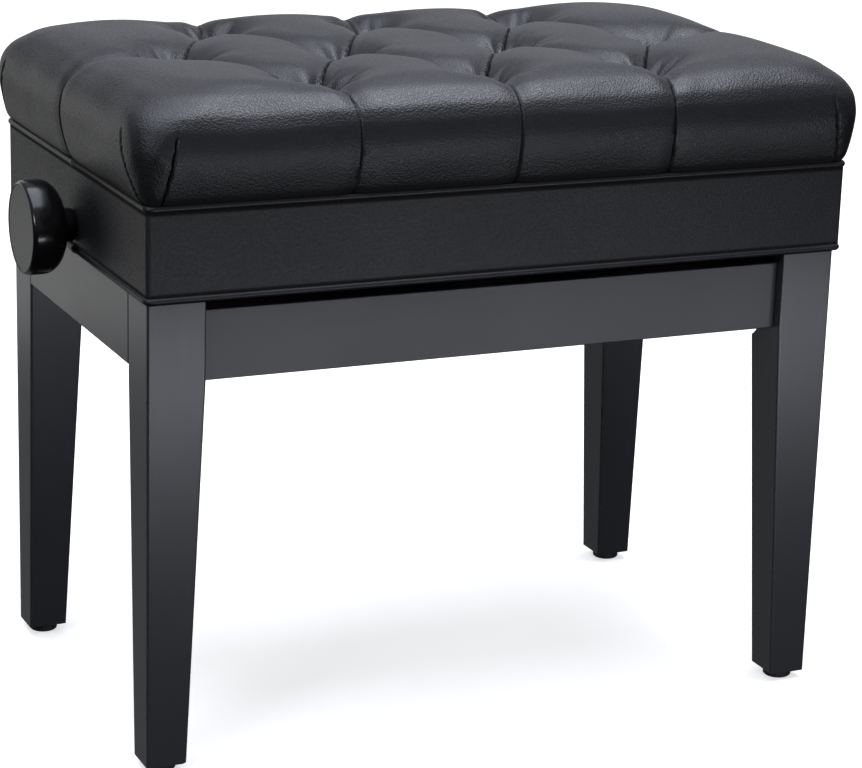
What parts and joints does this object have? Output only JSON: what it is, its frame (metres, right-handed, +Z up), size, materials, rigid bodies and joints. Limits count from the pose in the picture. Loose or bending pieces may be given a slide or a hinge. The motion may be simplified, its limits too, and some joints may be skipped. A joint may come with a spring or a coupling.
{
  "type": "piano bench",
  "caption": "Height-adjustable piano bench: tufted leatherette cushion on a piped seat box, raised over a tapered-leg wooden frame by a hand-turned screw and a steel scissor lift.",
  "frame": {"origin": "on the floor under the middle of the bench", "axes": "+X along the bench's width with the visible adjusting knob at -X, +Y from its front to its back, +Z up"},
  "size_m": [0.629, 0.356, 0.4955],
  "materials": {
    "black_lacquer": "satin",
    "leatherette": "satin",
    "cushion_leatherette": "satin",
    "plywood": "matte",
    "beech": "matte",
    "black_steel": "satin",
    "zinc_steel": "satin",
    "brass": "satin",
    "knob_plastic": "gloss",
    "glide_plastic": "matte",
    "bush_plastic": "matte"
  },
  "bodies": {
    "leg_frame": {"leg_front_left": "black_lacquer", "leg_front_right": "black_lacquer", "leg_rear_left": "black_lacquer", "leg_rear_right": "black_lacquer", "apron_front": "black_lacquer", "apron_rear": "black_lacquer", "apron_left": "black_lacquer", "apron_right": "black_lacquer", "glide_front_left": "glide_plastic", "glide_front_right": "glide_plastic", "glide_rear_left": "glide_plastic", "glide_rear_right": "glide_plastic", "corner_block_front_left": "beech", "corner_block_front_right": "beech", "corner_block_rear_left": "beech", "corner_block_rear_right": "beech", "leg_bolt_front_left": "zinc_steel", "leg_bolt_front_right": "zinc_steel", "leg_bolt_rear_left": "zinc_steel", "leg_bolt_rear_right": "zinc_steel", "lower_rail_front": "black_steel", "lower_rail_rear": "black_steel", "rail_screw_front_left": "zinc_steel", "rail_screw_front_right": "zinc_steel", "rail_screw_rear_left": "zinc_steel", "rail_screw_rear_right": "zinc_steel"},
    "outer_arms": {"outer_arm_front": "black_steel", "outer_arm_rear": "black_steel", "centre_pivot_front": "zinc_steel", "centre_pivot_rear": "zinc_steel", "lower_fixed_shaft": "zinc_steel", "upper_sliding_shaft": "zinc_steel"},
    "inner_arms": {"inner_arm_front": "black_steel", "inner_arm_rear": "black_steel", "upper_fixed_shaft": "zinc_steel", "lower_sliding_shaft": "zinc_steel"},
    "seat": {"skirt_board_front": "plywood", "skirt_board_rear": "plywood", "skirt_board_left": "plywood", "skirt_board_right": "plywood", "seat_board": "plywood", "skirt_cover": "leatherette", "piping_lower": "leatherette", "piping_upper": "leatherette", "cushion": "cushion_leatherette", "upper_rail_front": "black_steel", "upper_rail_rear": "black_steel", "seat_screw_front_left": "zinc_steel", "seat_screw_front_right": "zinc_steel", "seat_screw_rear_left": "zinc_steel", "seat_screw_rear_right": "zinc_steel", "spindle_bush_left": "bush_plastic", "spindle_bush_right": "bush_plastic"},
    "spindle": {"spindle": "zinc_steel", "knob_left": "knob_plastic", "knob_right": "knob_plastic", "thrust_collar_left": "zinc_steel", "thrust_collar_right": "zinc_steel"},
    "drive_nut": {"drive_nut": "brass"}
  },
  "joints": [
    {"name": "outer_arms_swing", "type": "hinge", "parent": "leg_frame", "child": "outer_arms", "pos_m": [-0.2188, 0, 0.33], "axis": [0, -1, 0], "range_deg": [0, 13.41]},
    {"name": "inner_arms_swing", "type": "hinge", "parent": "outer_arms", "child": "inner_arms", "pos_m": [0, 0, 0.35795], "axis": [0, 1, 0], "range_deg": [0, 26.84]},
    {"name": "seat_level", "type": "hinge", "parent": "inner_arms", "child": "seat", "pos_m": [-0.2188, 0, 0.3859], "axis": [0, -1, 0], "range_deg": [0, 13.42]},
    {"name": "knob_turn", "type": "hinge", "parent": "seat", "child": "spindle", "pos_m": [0, 0, 0.3693], "axis": [1, 0, 0], "range_deg": [0, 2989.1]},
    {"name": "nut_travel", "type": "slide", "parent": "seat", "child": "drive_nut", "axis": [-1, 0, 0], "range_m": [0, 0.02491]}
  ],
  "couplings": [
    {"joint": "inner_arms_swing", "follows": "outer_arms_swing", "ratio": 2},
    {"joint": "seat_level", "follows": "outer_arms_swing", "ratio": 1},
    {"joint": "knob_turn", "follows": "outer_arms_swing", "ratio": 222.82},
    {"joint": "nut_travel", "follows": "outer_arms_swing", "m_per_rad": 0.10639}
  ]
}
